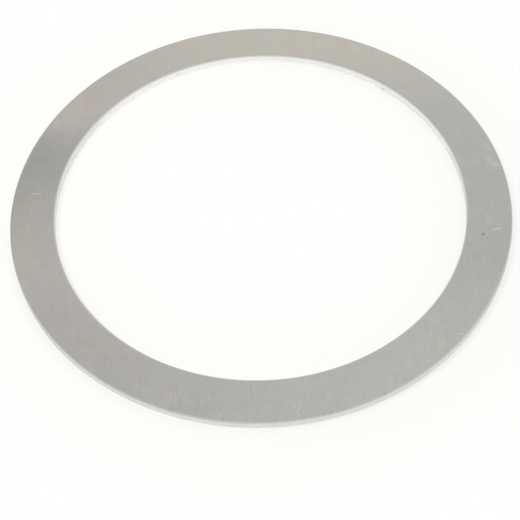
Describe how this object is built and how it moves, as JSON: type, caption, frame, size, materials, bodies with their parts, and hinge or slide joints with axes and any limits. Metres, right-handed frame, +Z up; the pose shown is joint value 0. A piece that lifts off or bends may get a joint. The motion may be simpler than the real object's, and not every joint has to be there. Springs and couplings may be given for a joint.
{
  "type": "cylinder head gasket",
  "caption": "Flat round aluminium cylinder head gasket for a small engine: a plain ring that seals the joint between cylinder and head round the bore.",
  "frame": {"origin": "centre of the ring, on the bottom face", "axes": "+Z up along the bore's axis, from the bottom face to the top face with the rolled-over edges"},
  "size_m": [0.084, 0.084, 0.0015],
  "materials": {
    "aluminium_sheet": "rolled mill finish, satin, with sheared edges"
  },
  "bodies": {
    "root": {"head_gasket": "aluminium_sheet"}
  },
  "joints": []
}
